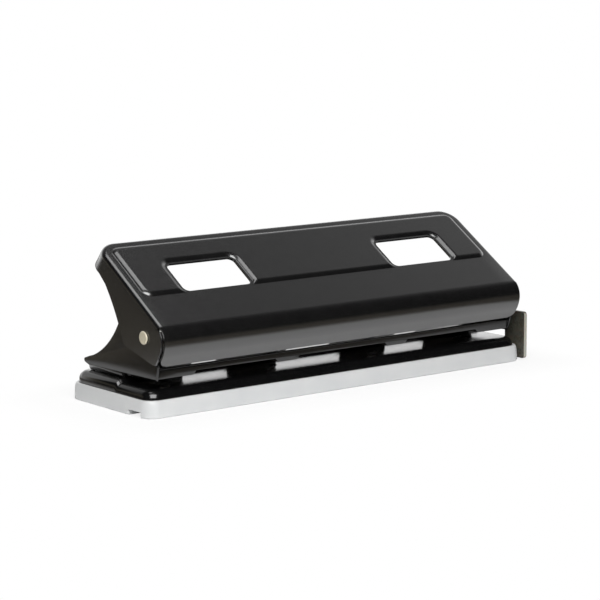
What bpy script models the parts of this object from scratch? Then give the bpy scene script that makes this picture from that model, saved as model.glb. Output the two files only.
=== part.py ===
"""Four hole punch for A4 paper: a lever, four sprung pins, a frame, a base and a chip tray.

Metres, +Z up. The origin is the middle of the tray's footprint, on the desk.
+X runs along the punch to the paper guide's stop, and +Y runs back to the lever's free edge.
Depths are measured from the tray's front edge, and FRONT turns them into Y.
"""
import math

import bmesh
import bpy
import numpy as np
from mathutils import Matrix, Vector

GAP = 0.0003
SHEET = 0.0012
THICK_SHEET = 0.0015
# Pieces that are joined run this far into one another, and cutters run this far past
INTO = 0.0002
PAST = 0.0010
# Length of a cutter that goes right through a sheet
THROUGH = 0.0100

# Chip tray: as long as the A4 edge that it lines up with
TRAY_LENGTH = 0.2970
TRAY_DEPTH = 0.0860
TRAY_HEIGHT = 0.0104
TRAY_CORNER = 0.0085
TRAY_FLOOR = 0.0016
TRAY_LEDGE_TOP = 0.0077
TRAY_LEDGE = 0.0036
TRAY_FOOT = 0.0006
TRAY_RIM_EDGE = 0.0005
TRAY_RIM_SET_IN_X = 0.0007
TRAY_RIM_SET_IN_Y = 0.0013
CHIP_SPACE_CORNER = 0.0050
FRONT = -TRAY_DEPTH / 2
REAR = TRAY_DEPTH / 2

# Guide channel in the underside of the tray, and the guide that slides in it
CHANNEL_FRONT = FRONT + 0.0085
CHANNEL_REAR = FRONT + 0.0215
CHANNEL_HEIGHT = 0.0034
CHANNEL_ROOF = 0.0016
CHANNEL_WALL = 0.0015
CHANNEL_LIP = 0.0018
CHANNEL_LIP_HEIGHT = 0.0010
CHANNEL_END_NOTCH = 0.0080
GUIDE_STRIP_START = -0.0200
GUIDE_STRIP_BOTTOM = 0.0013
GUIDE_STRIP_TOP = 0.0031
GUIDE_STRIP_CORNER = 0.0030
FLAG_THICKNESS = 0.0025
FLAG_FRONT = FRONT - 0.0010
FLAG_REAR = FRONT + 0.0175
FLAG_TOP = 0.0323
FLAG_CORNER = 0.0020

# Base plate: a pressed pan, its rear deck one step above the paper table
BASE_HALF_LENGTH = TRAY_LENGTH / 2 - 0.0019
BASE_FRONT = FRONT + 0.0026
BASE_REAR = REAR - 0.0026
BASE_CORNER = 0.0085
BASE_EDGE_RADIUS = 0.0054
BASE_SKIRT_BOTTOM = TRAY_LEDGE_TOP + GAP
TABLE_TOP = 0.0159
DECK_TOP = 0.0178
STEP_FRONT = FRONT + 0.0370
STEP_REAR = FRONT + 0.0385

# Punch stations: 80 mm pitch, holes 12 mm in from the paper's edge, their dies pierced in the table
HOLE_PITCH = 0.0800
STATIONS = [HOLE_PITCH * (i - 1.5) for i in range(4)]
PIN_Y = STEP_FRONT - 0.0118
PIN_RADIUS = 0.00295
DIE_HOLE_RADIUS = 0.00315
GUIDE_HOLE_RADIUS = 0.00320

# Punch frame: web, front lip, stations, rear pillars with feet, stiffening flanges, end cheeks
CHEEK_INNER = 0.1387
CHEEK_OUTER = CHEEK_INNER + THICK_SHEET
CHEEK_BOTTOM_FRONT = 0.0209
CHEEK_BOTTOM_REAR = 0.0197
WEB_TOP = 0.0274
WEB_BOTTOM = WEB_TOP - THICK_SHEET
WEB_FRONT = FRONT + 0.0050
PILLAR_FRONT = FRONT + 0.0395
PILLAR_REAR = PILLAR_FRONT + THICK_SHEET
LIP_BOTTOM = 0.0243
STATION_BOTTOM = 0.0220
STATION_SLANT = 0.0020
STATION_RANGES = ((0.0340, 0.0524), (0.1110, CHEEK_INNER + INTO))
PILLAR_RANGES = ((0.0260, 0.0630), (0.0970, CHEEK_INNER + INTO))
FLANGE_RANGES = ((0.0176, 0.0710), (0.0900, CHEEK_INNER + INTO))
FLANGE_TOP = 0.0365
FOOT_CORNER = 0.0030
FOOT_BOTTOM = DECK_TOP + GAP
FOOT_REAR = FRONT + 0.0580
FOOT_RIVET_Y = FRONT + 0.0505
FOOT_RIVETS = (0.0325, 0.0565, 0.1040, 0.1310)

# Lever: hinge axis, slope of its top plate, and the outer form of its pressed sheet
PIVOT_Y = FRONT + 0.0132
PIVOT_Z = 0.0460
SLOPE = math.radians(32.48)
PLATE_FROM_PIVOT = 0.01457
LEVER_HALF_LENGTH = 0.1417
LIP_RADIUS = 0.0190
LIP_END_ANGLE = math.radians(233.4)
LIP_HALF_LENGTH = 0.1401
LIP_CORNER = 0.0050
NOSE_RADIUS = 0.0120
FOLD_RADIUS = 0.0030
FOLD_END_ANGLE = math.radians(129.0)
CHEEK_END_ANGLE = math.radians(132.0)
PLATE_CORNER = 0.0100
FLAT_END = 0.0674
CORNER_START_X = LEVER_HALF_LENGTH - FOLD_RADIUS - PLATE_CORNER
CORNER_START_SLOPE = FLAT_END - PLATE_CORNER
FIRST_FOLDED_ROW = 11
CHEEK_SET_IN = 0.0018
WALL_DEPTH_SIDE = 0.0124
WALL_DEPTH_REAR = 0.0148
SKIRT_BEND = math.radians(80.0)

# Windows and raised panel in the lever's top plate, measured up the slope from the hinge
WINDOW_NEAR = 0.0565
WINDOW_FAR = 0.1061
WINDOW_LOW = 0.0194
WINDOW_HIGH = 0.0448
WINDOW_CORNER = 0.0040
WINDOW_MARGIN = 0.0015
PANEL_HALF_LENGTH = 0.1351
PANEL_LOW = 0.0186
PANEL_HIGH = 0.0645
PANEL_CORNER = 0.0060
PANEL_RISE = 0.0014
PANEL_RAMP = 0.0032

# Press bar under the lever: its rod moves the pins straight down
PRESS_HALF_TURN = math.radians(13.75)
ROD_RADIUS = 0.0025
ROD_Z = PIVOT_Z + (PIN_Y - PIVOT_Y) * math.tan(PRESS_HALF_TURN)
ROD_HALF_LENGTH = 0.1350
HANGERS = (-0.1300, -0.0180, 0.0180, 0.1300)
HANGER_THICKNESS = 0.0020
HANGER_EYE = 0.0045
HANGER_FOOT_WIDTH = 0.0120
HANGER_FOOT_CORNER = 0.0020
HANGER_FOOT_START = 0.0060
HANGER_FOOT_END = 0.0260

# Punch pins and their springs
PIN_TOP = ROD_Z - ROD_RADIUS - GAP
PIN_HEAD_RADIUS = 0.0050
PIN_HEAD = 0.0015
PIN_TIP = 0.0203
TIP_HOLLOW_RADIUS = 0.0050
TIP_HOLLOW = 0.0010
SEAT_RADIUS = 0.0052
SEAT_HEIGHT = 0.0008
WIRE_RADIUS = 0.0004
COIL_RADIUS = 0.0041
COIL_TURNS = 7
COIL_POINTS = 10

# Hinge pins and rivets
HINGE_SHANK_RADIUS = 0.0025
HINGE_HOLE_RADIUS = 0.0028
HINGE_HEAD_RADIUS = 0.0040
HINGE_HEAD = 0.0009
HINGE_TAIL_RADIUS = 0.0037
HEAD_EDGE = 0.0004
TAIL_TAPER = 0.0006
RIVET_SHANK_RADIUS = 0.0014
RIVET_HOLE_RADIUS = 0.0017
RIVET_HEAD_RADIUS = 0.0028
RIVET_HEAD = 0.0012

PARTS = None
CUTTERS = None
MATERIALS = {}


def start_clean():
    """Remove what the file opens with, and make the two collections."""
    global PARTS, CUTTERS
    for item in list(bpy.data.objects):
        bpy.data.objects.remove(item)
    PARTS = bpy.data.collections.new("four_hole_punch")
    CUTTERS = bpy.data.collections.new("cutters")
    bpy.context.scene.collection.children.link(PARTS)
    bpy.context.scene.collection.children.link(CUTTERS)


def material(name, colour, roughness, metallic=0.0, alpha=1.0):
    made = bpy.data.materials.new(name)
    made.use_nodes = True
    shader = made.node_tree.nodes["Principled BSDF"]
    shader.inputs["Base Color"].default_value = (*colour, 1.0)
    shader.inputs["Roughness"].default_value = roughness
    shader.inputs["Metallic"].default_value = metallic
    shader.inputs["Alpha"].default_value = alpha
    MATERIALS[name] = made


def make_materials():
    material("satin_enamel", (0.014, 0.014, 0.015), 0.35)
    material("gloss_enamel", (0.008, 0.008, 0.009), 0.08)
    material("frosted_plastic", (0.66, 0.68, 0.68), 0.45, alpha=0.9)
    material("smoky_plastic", (0.09, 0.085, 0.065), 0.30, alpha=0.8)
    material("plated_steel", (0.62, 0.60, 0.56), 0.30, 1.0)
    material("spring_steel", (0.42, 0.42, 0.43), 0.30, 1.0)
    material("nickel", (0.66, 0.62, 0.50), 0.40, 0.6)


def link(name, mesh, finish):
    """One object for one piece: a node when it has a finish, or else a cutter."""
    item = bpy.data.objects.new(name, mesh)
    if finish is None:
        CUTTERS.objects.link(item)
        item.hide_render = True
        item.display_type = "WIRE"
        return item
    PARTS.objects.link(item)
    mesh.materials.append(MATERIALS[finish])
    return item


def from_bmesh(name, bm, finish):
    mesh = bpy.data.meshes.new(name)
    bmesh.ops.recalc_face_normals(bm, faces=bm.faces[:])
    bm.to_mesh(mesh)
    bm.free()
    return link(name, mesh, finish)


def box(name, low, high, finish=None):
    low = Vector(low)
    high = Vector(high)
    bm = bmesh.new()
    place = Matrix.Translation((low + high) / 2) @ Matrix.Diagonal((*(high - low), 1.0))
    bmesh.ops.create_cube(bm, size=1.0, matrix=place)
    return from_bmesh(name, bm, finish)


def cylinder(name, centre, axis, radius, length, sides=24, finish=None):
    bm = bmesh.new()
    turn = Vector((0, 0, 1)).rotation_difference(Vector(axis)).to_matrix().to_4x4()
    place = Matrix.Translation(centre) @ turn
    bmesh.ops.create_cone(bm, cap_ends=True, segments=sides, radius1=radius, radius2=radius,
                          depth=length, matrix=place)
    return from_bmesh(name, bm, finish)


def plate(name, outlines, thickness, place, finish=None):
    """A flat outline with its holes, drawn as a 2D curve and given its thickness."""
    curve = bpy.data.curves.new(name, "CURVE")
    curve.dimensions = "2D"
    curve.fill_mode = "BOTH"
    curve.extrude = thickness / 2
    for outline in outlines:
        spline = curve.splines.new("POLY")
        spline.points.add(len(outline) - 1)
        for point, (x, y) in zip(spline.points, outline):
            point.co = (x, y, 0, 1)
        spline.use_cyclic_u = True
    return curve_to_mesh(name, curve, place, finish)


def curve_to_mesh(name, curve, place, finish):
    drawn = bpy.data.objects.new(name + "_curve", curve)
    bpy.context.scene.collection.objects.link(drawn)
    drawn.matrix_world = place
    bpy.context.view_layer.update()
    graph = bpy.context.evaluated_depsgraph_get()
    mesh = bpy.data.meshes.new_from_object(drawn.evaluated_get(graph))
    bm = bmesh.new()
    bm.from_mesh(mesh)
    bmesh.ops.remove_doubles(bm, verts=bm.verts[:], dist=0.000001)
    bmesh.ops.transform(bm, matrix=place, verts=bm.verts[:])
    mesh.materials.clear()
    bmesh.ops.recalc_face_normals(bm, faces=bm.faces[:])
    bm.to_mesh(mesh)
    bm.free()
    bpy.data.objects.remove(drawn)
    return link(name, mesh, finish)


def turned(name, profile, place, finish, steps=24, ring=False):
    """A turned piece: its outline runs from the top down, as (radius, height) pairs."""
    mesh = bpy.data.meshes.new(name)
    points = [(radius, 0, height) for radius, height in profile]
    edges = [(i, i + 1) for i in range(len(points) - 1)]
    if ring:
        edges.append((len(points) - 1, 0))
    mesh.from_pydata(points, edges, [])
    item = link(name, mesh, finish)
    item.matrix_world = place
    screw = item.modifiers.new("turn", "SCREW")
    screw.axis = "Z"
    screw.steps = steps
    screw.render_steps = steps
    screw.use_merge_vertices = True
    screw.merge_threshold = 0.00001
    screw.use_smooth_shade = False
    return item


def boolean(target, other, operation):
    step = target.modifiers.new(operation.lower(), "BOOLEAN")
    step.operation = operation
    step.object = other
    step.solver = "EXACT"


def cut(target, *cutters):
    for cutter in cutters:
        boolean(target, cutter, "DIFFERENCE")


def join(target, *pieces):
    for piece in pieces:
        boolean(target, piece, "UNION")


def smooth(item, angle=35):
    item.data.shade_smooth()
    item.data.set_sharp_from_angle(angle=math.radians(angle))


def arc(centre, radius, start, end, steps):
    """Points on an arc, both ends included, with the angles in degrees."""
    points = []
    for i in range(steps + 1):
        angle = math.radians(start + (end - start) * i / steps)
        points.append((centre[0] + radius * math.cos(angle), centre[1] + radius * math.sin(angle)))
    return points


def rounded_rectangle(low, high, radius, steps=6):
    """Counter-clockwise outline of a rectangle with round corners."""
    corners = (
        ((high[0] - radius, low[1] + radius), -90),
        ((high[0] - radius, high[1] - radius), 0),
        ((low[0] + radius, high[1] - radius), 90),
        ((low[0] + radius, low[1] + radius), 180),
    )
    outline = []
    for centre, start in corners:
        outline += arc(centre, radius, start, start + 90, steps)
    return outline


def turned_to(x_axis, y_axis, z_axis, origin):
    """A placing matrix from the three directions of the local axes and the origin."""
    matrix = Matrix((x_axis, y_axis, z_axis)).transposed().to_4x4()
    matrix.translation = origin
    return matrix


def side_view(x):
    """Places an outline drawn in Y and Z on the plane at x."""
    return turned_to((0, 1, 0), (0, 0, 1), (1, 0, 0), (x, 0, 0))


def smooth_step(value, start, end):
    t = min(max((value - start) / (end - start), 0.0), 1.0)
    return t * t * (3 - 2 * t)


# The lever's own directions: up its slope, and square out of its top plate
UP_SLOPE = Vector((0, math.cos(SLOPE), math.sin(SLOPE)))
PLATE_OUT = Vector((0, -math.sin(SLOPE), math.cos(SLOPE)))
PIVOT = Vector((0, PIVOT_Y, PIVOT_Z))
NOSE_OUT = PLATE_FROM_PIVOT - NOSE_RADIUS
NOSE_BACK = math.sqrt((LIP_RADIUS - NOSE_RADIUS) ** 2 - NOSE_OUT ** 2)
NOSE_CENTRE = PIVOT - UP_SLOPE * NOSE_BACK + PLATE_OUT * NOSE_OUT
NOSE_TOP_ANGLE = SLOPE + math.pi / 2
NOSE_BOTTOM_ANGLE = math.atan2((NOSE_CENTRE - PIVOT).z, (NOSE_CENTRE - PIVOT).y) % (2 * math.pi)


def on_plate(x, slope, out=0.0):
    """A point by its place along the lever, its distance up the slope and its height off the plate."""
    return PIVOT + Vector((x, 0, 0)) + UP_SLOPE * slope + PLATE_OUT * (PLATE_FROM_PIVOT + out)


def on_circle(centre, radius, angle):
    return centre + Vector((0, math.cos(angle), math.sin(angle))) * radius


def rounded_box_distance(x, y, half_x, half_y, radius):
    """Signed distance from a rounded rectangle about the origin, negative inside."""
    over_x = abs(x) - half_x + radius
    over_y = abs(y) - half_y + radius
    outside = math.hypot(max(over_x, 0.0), max(over_y, 0.0))
    return outside + min(max(over_x, over_y), 0.0) - radius


def panel_rise(x, slope):
    """Height of the raised panel, which steps down round its edge and round both windows."""
    middle = (PANEL_LOW + PANEL_HIGH) / 2
    half = (PANEL_HIGH - PANEL_LOW) / 2
    edge = -rounded_box_distance(x, slope - middle, PANEL_HALF_LENGTH, half, PANEL_CORNER)
    window = rounded_box_distance(
        abs(x) - (WINDOW_NEAR + WINDOW_FAR) / 2,
        slope - (WINDOW_LOW + WINDOW_HIGH) / 2,
        (WINDOW_FAR - WINDOW_NEAR) / 2,
        (WINDOW_HIGH - WINDOW_LOW) / 2,
        WINDOW_CORNER,
    )
    return PANEL_RISE * pressed_share(edge) * pressed_share(window - WINDOW_MARGIN)


def pressed_share(distance):
    """How far a press has raised the sheet: a sharp bend at the foot of the step, a soft one on top."""
    t = min(max(distance / PANEL_RAMP, 0.0), 1.0)
    return 1 - (1 - t) ** 2


def lever_columns():
    """Places of the sheet's lines along X, closest where the panel steps."""
    step = WINDOW_MARGIN + PANEL_RAMP
    half = [0.0, 0.0300, WINDOW_NEAR - step, WINDOW_NEAR - step + PANEL_RAMP / 2]
    half += [WINDOW_NEAR - WINDOW_MARGIN, (WINDOW_NEAR + WINDOW_FAR) / 2, WINDOW_FAR + WINDOW_MARGIN]
    half += [WINDOW_FAR + step - PANEL_RAMP / 2, WINDOW_FAR + step, 0.1200, CORNER_START_X]
    half += [PANEL_HALF_LENGTH - PANEL_RAMP, PANEL_HALF_LENGTH - PANEL_RAMP / 2, PANEL_HALF_LENGTH]
    half += [LEVER_HALF_LENGTH - FOLD_RADIUS]
    return [-x for x in reversed(half[1:])] + half


def lever_rows():
    """Rows of the sheet as (point, outward direction, slope or None), from the lip to the rear fold."""
    rows = []
    for i in range(6):
        angle = LIP_END_ANGLE + (NOSE_BOTTOM_ANGLE - LIP_END_ANGLE) * i / 6
        rows.append((on_circle(PIVOT, LIP_RADIUS, angle), angle))
    for angle in np.linspace(NOSE_BOTTOM_ANGLE, FOLD_END_ANGLE, 6):
        rows.append((on_circle(NOSE_CENTRE, NOSE_RADIUS, angle), angle))
    for angle in np.linspace(FOLD_END_ANGLE, NOSE_TOP_ANGLE, 3)[1:]:
        rows.append((on_circle(NOSE_CENTRE, NOSE_RADIUS, angle), angle))
    lines = [(p, Vector((0, math.cos(a), math.sin(a))), None) for p, a in rows]
    step = WINDOW_MARGIN + PANEL_RAMP
    slopes = [0.0080, PANEL_LOW, PANEL_LOW + PANEL_RAMP / 2, PANEL_LOW + PANEL_RAMP, 0.0320]
    slopes += [WINDOW_HIGH + WINDOW_MARGIN, WINDOW_HIGH + step - PANEL_RAMP / 2, WINDOW_HIGH + step]
    slopes += [0.0530, CORNER_START_SLOPE, corner_slope(15), PANEL_HIGH - PANEL_RAMP]
    slopes += [PANEL_HIGH - PANEL_RAMP / 2, PANEL_HIGH, corner_slope(60), corner_slope(75), FLAT_END]
    return lines + [(on_plate(0, s), PLATE_OUT, s) for s in slopes]


def corner_slope(degrees):
    """Place up the slope of a point on the plate's round rear corner."""
    return CORNER_START_SLOPE + PLATE_CORNER * math.sin(math.radians(degrees))


def lever_half_width(row, point, slope):
    """Half length of the sheet in one row: round lip corners, the fold lines, round rear corners."""
    if slope is None:
        if row >= FIRST_FOLDED_ROW:
            return LEVER_HALF_LENGTH - FOLD_RADIUS
        climbed = LIP_RADIUS * (LIP_END_ANGLE - math.atan2(point.z - PIVOT_Z, point.y - PIVOT_Y) % math.tau)
        short = LIP_CORNER - min(max(climbed, 0.0), LIP_CORNER)
        return LIP_HALF_LENGTH - LIP_CORNER + math.sqrt(LIP_CORNER ** 2 - short ** 2)
    into_corner = max(slope - CORNER_START_SLOPE, 0.0)
    return CORNER_START_X + math.sqrt(max(PLATE_CORNER ** 2 - into_corner ** 2, 0.0))


def lever_sheet():
    """The pressed sheet's outer face: lip, nose and plate as a grid, then folds, walls and cheeks."""
    bm = bmesh.new()
    columns = lever_columns()
    rows = lever_rows()
    straight = CORNER_START_X
    grid = []
    for number, (point, out, slope) in enumerate(rows):
        half = lever_half_width(number, point, slope)
        line = []
        for column in columns:
            over = max(abs(column) - straight, 0.0) / PLATE_CORNER
            x = math.copysign(min(abs(column), straight) + over * (half - straight), column)
            rise = 0.0 if slope is None else panel_rise(x, slope)
            line.append(bm.verts.new(point + Vector((x, 0, 0)) + out * rise))
        grid.append(line)
    for lower, upper in zip(grid, grid[1:]):
        for i in range(len(columns) - 1):
            bm.faces.new((lower[i], lower[i + 1], upper[i + 1], upper[i]))
    edge = fold_line(rows, grid, columns)
    loops = fold_loops(bm, edge)
    close_cheeks(bm, edge, loops)
    bmesh.ops.remove_doubles(bm, verts=bm.verts[:], dist=0.00001)
    return bm


def fold_line(rows, grid, columns):
    """The line where the plate starts to fold: vertex, outward direction in the plate, plate normal, turn."""
    right = []
    for number in range(FIRST_FOLDED_ROW, len(rows) - 1):
        _, out, slope = rows[number]
        into_corner = 0.0 if slope is None else max(slope - CORNER_START_SLOPE, 0.0)
        turn = math.asin(min(into_corner / PLATE_CORNER, 1.0))
        right.append((grid[number][-1], (math.cos(turn), math.sin(turn)), out, turn))
    left = [(grid[FIRST_FOLDED_ROW + i][0], (-side[0], side[1]), out, turn)
            for i, (_, side, out, turn) in enumerate(right)]
    back = [(grid[-1][i], (0.0, 1.0), PLATE_OUT, math.pi / 2)
            for i in range(len(columns)) if abs(columns[i]) <= CORNER_START_X]
    return right + back[::-1] + left[::-1]


def fold_loops(bm, line):
    """Fold the wall down from the fold line; the wall's lower edge is the last loop round the rear."""
    steps = 4
    loops = [[item[0] for item in line]]
    bends = [math.radians(90) + (SKIRT_BEND - math.radians(90)) * smooth_step(item[3], 0.0, math.pi / 2)
             for item in line]
    for step in range(1, steps + 1):
        loop = []
        for (vertex, side, out, _), bend in zip(line, bends):
            angle = bend * step / steps
            across = Vector((side[0], 0, 0)) + UP_SLOPE * side[1]
            if out != PLATE_OUT:
                across = Vector((side[0], 0, 0))
            flat = FOLD_RADIUS * math.sin(angle)
            drop = FOLD_RADIUS * (1 - math.cos(angle))
            loop.append(bm.verts.new(vertex.co + across * flat - out * drop))
        loops.append(loop)
    for upper, lower in zip(loops, loops[1:]):
        for i in range(len(line) - 1):
            bm.faces.new((upper[i], upper[i + 1], lower[i + 1], lower[i]))
    ends = []
    for (vertex, side, out, turn), bend, last in zip(line, bends, loops[-1]):
        if turn == 0.0 and not next_turns(line, vertex):
            ends.append(None)
            continue
        depth = WALL_DEPTH_SIDE + (WALL_DEPTH_REAR - WALL_DEPTH_SIDE) * turn / (math.pi / 2)
        left_over = (depth - FOLD_RADIUS * (1 - math.cos(bend))) / math.sin(bend)
        across = Vector((side[0], 0, 0)) + UP_SLOPE * side[1]
        down = across * math.cos(bend) - out * math.sin(bend)
        ends.append(bm.verts.new(last.co + down * left_over))
    for i in range(len(line) - 1):
        if ends[i] is not None and ends[i + 1] is not None:
            bm.faces.new((loops[-1][i], loops[-1][i + 1], ends[i + 1], ends[i]))
    return loops + [ends]


def next_turns(line, vertex):
    """True for the last straight point of the fold line before a rear corner."""
    turns = [item[3] for item in line]
    place = [item[0] for item in line].index(vertex)
    near = turns[max(place - 1, 0):place + 2]
    return any(turn > 0.0 for turn in near)


def cheek_outline():
    """Free edge of a cheek in Y and Z, from the rear wall's lower edge round to the fold's end."""
    points = arc((FRONT + 0.1540, -0.0035), 0.1258, 142.6, 158.0, 6)
    points += arc((FRONT + 0.0325, 0.0424), 0.0040, 10, -70, 4)
    points += [(FRONT + 0.0052, 0.0309)]
    for angle in np.linspace(LIP_END_ANGLE, NOSE_BOTTOM_ANGLE, 6):
        point = on_circle(PIVOT, LIP_RADIUS - CHEEK_SET_IN, angle)
        points.append((point.y, point.z))
    for angle in np.linspace(NOSE_BOTTOM_ANGLE, CHEEK_END_ANGLE, 5)[1:]:
        point = on_circle(NOSE_CENTRE, NOSE_RADIUS - CHEEK_SET_IN, angle)
        points.append((point.y, point.z))
    return points


def close_cheeks(bm, line, loops):
    """Fill each cheek between the folded side and its free edge."""
    outline = cheek_outline()
    inner = loops[-2]
    ends = loops[-1]
    straight = [i for i, item in enumerate(line) if item[3] == 0.0]
    right = [i for i in straight if line[i][0].co.x > 0]
    left = [i for i in straight if line[i][0].co.x < 0]
    for side, half in ((right, LEVER_HALF_LENGTH), (left[::-1], -LEVER_HALF_LENGTH)):
        fold = [inner[i] for i in side]
        free = [bm.verts.new((half, y, z)) for y, z in outline]
        bm.faces.new(fold + [ends[side[-1]]] + free)


def lever():
    bm = lever_sheet()
    item = from_bmesh("lever", bm, "satin_enamel")
    shell = item.modifiers.new("sheet", "SOLIDIFY")
    shell.thickness = SHEET
    shell.offset = -1
    shell.use_even_offset = True
    item.modifiers.new("facets", "TRIANGULATE")
    for name, sign in (("left", -1), ("right", 1)):
        low = (min(sign * WINDOW_NEAR, sign * WINDOW_FAR), WINDOW_LOW)
        high = (max(sign * WINDOW_NEAR, sign * WINDOW_FAR), WINDOW_HIGH)
        place = turned_to((1, 0, 0), UP_SLOPE, PLATE_OUT, on_plate(0, 0))
        window = plate("window_cut_" + name, [rounded_rectangle(low, high, WINDOW_CORNER)], THROUGH, place)
        cut(item, window)
        centre = (sign * LEVER_HALF_LENGTH, PIVOT_Y, PIVOT_Z)
        cut(item, cylinder("hinge_cut_" + name, centre, (1, 0, 0), HINGE_HOLE_RADIUS, THROUGH))
    smooth(item)
    move_origin(item, PIVOT)
    return item


def move_origin(item, origin):
    """Put the object's origin on its joint's axis and leave its shape where it is."""
    item.data.transform(Matrix.Translation(-Vector(origin)))
    item.location = origin


def press_bar():
    rod = cylinder("press_bar", (0, PIN_Y, ROD_Z), (1, 0, 0), ROD_RADIUS, 2 * ROD_HALF_LENGTH, 16,
                   "plated_steel")
    under = PLATE_FROM_PIVOT - SHEET - GAP
    for number, x in enumerate(HANGERS):
        outline = arc((PIN_Y, ROD_Z), HANGER_EYE, 180, 360, 8)
        for slope in (HANGER_FOOT_END, HANGER_FOOT_START):
            point = PIVOT + UP_SLOPE * slope + PLATE_OUT * (under - INTO)
            outline.append((point.y, point.z))
        web = plate(f"hanger_{number}", [outline], HANGER_THICKNESS, side_view(x))
        middle = PIVOT + UP_SLOPE * (HANGER_FOOT_START + HANGER_FOOT_END) / 2
        middle += PLATE_OUT * (under - THICK_SHEET / 2) + Vector((x, 0, 0))
        half = (HANGER_FOOT_END - HANGER_FOOT_START) / 2
        width = HANGER_FOOT_WIDTH / 2
        pad = rounded_rectangle((-width, -half), (width, half), HANGER_FOOT_CORNER, 3)
        place = turned_to((1, 0, 0), UP_SLOPE, PLATE_OUT, middle)
        foot = plate(f"hanger_foot_{number}", [pad], THICK_SHEET, place)
        join(rod, web, foot)
    move_origin(rod, PIVOT)


def punch_pin(number, x):
    head = PIN_HEAD_RADIUS
    profile = [(0, PIN_TOP), (head - HEAD_EDGE, PIN_TOP), (head, PIN_TOP - HEAD_EDGE),
               (head, PIN_TOP - PIN_HEAD), (PIN_RADIUS, PIN_TOP - PIN_HEAD),
               (PIN_RADIUS, PIN_TIP), (0, PIN_TIP)]
    place = Matrix.Translation((x, PIN_Y, 0))
    item = turned(f"punch_pin_{number}", profile, place, "plated_steel")
    centre = (x, PIN_Y, PIN_TIP + TIP_HOLLOW - TIP_HOLLOW_RADIUS)
    cut(item, cylinder(f"tip_cut_{number}", centre, (0, 1, 0), TIP_HOLLOW_RADIUS, THROUGH, 32))


def spring_seat(number, x):
    low = WEB_TOP + GAP
    profile = [(GUIDE_HOLE_RADIUS, low + SEAT_HEIGHT), (SEAT_RADIUS, low + SEAT_HEIGHT),
               (SEAT_RADIUS, low), (GUIDE_HOLE_RADIUS, low)]
    place = Matrix.Translation((x, PIN_Y, 0))
    turned(f"spring_seat_{number}", profile, place, "plated_steel", ring=True)


def coil_points(x):
    """Centre line of a spring, with straight ends square to the seat and the pin's head."""
    bottom = WEB_TOP + GAP + SEAT_HEIGHT + GAP
    top = PIN_TOP - PIN_HEAD - GAP
    end = 2 * WIRE_RADIUS
    count = COIL_TURNS * COIL_POINTS
    points = [Vector((x + COIL_RADIUS, PIN_Y, bottom))]
    for i in range(count + 1):
        angle = math.tau * i / COIL_POINTS
        height = bottom + end + (top - bottom - 2 * end) * i / count
        around = Vector((math.cos(angle), math.sin(angle), 0)) * COIL_RADIUS
        points.append(Vector((x, PIN_Y, height)) + around)
    points.append(Vector((x + COIL_RADIUS, PIN_Y, top)))
    return points


def least_gap(points):
    """Smallest clear distance between points of the wire at least half a turn apart."""
    places = np.array([tuple(point) for point in points])
    apart = np.linalg.norm(places[:, None] - places[None], axis=2)
    steps = np.abs(np.subtract.outer(np.arange(len(points)), np.arange(len(points))))
    return apart[steps > COIL_POINTS // 2].min() - 2 * WIRE_RADIUS


def punch_spring(number, x):
    points = coil_points(x)
    curve = bpy.data.curves.new(f"punch_spring_{number}", "CURVE")
    curve.dimensions = "3D"
    curve.bevel_depth = WIRE_RADIUS
    curve.bevel_resolution = 1
    curve.use_fill_caps = True
    spline = curve.splines.new("POLY")
    spline.points.add(len(points) - 1)
    for place, point in zip(spline.points, points):
        place.co = (*point, 1)
    curve_to_mesh(f"punch_spring_{number}", curve, Matrix.Identity(4), "spring_steel")
    if number == 1:
        print(f"spring's least gap to itself: {least_gap(points) * 1000:.2f} mm")


def frame_cheek_outline():
    """Cheek of the frame in Y and Z: throat front, boss round the hinge, and the flare to the rear toe."""
    points = [(FRONT + 0.0045, CHEEK_BOTTOM_FRONT), (FRONT + 0.0021, 0.0299), (FRONT + 0.0048, 0.0312)]
    points += arc((PIVOT_Y, PIVOT_Z), 0.0095, 195, 80, 8)
    points += [(FRONT + 0.0380, 0.0560)]
    points += arc((FRONT + 0.0907, 0.0807), 0.0566, 212.8, 254.1, 9)
    points += arc((FRONT + 0.0800, 0.0222), 0.0015, 60, -80, 5)
    points += [(FRONT + 0.0766, CHEEK_BOTTOM_REAR)]
    return points


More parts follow.
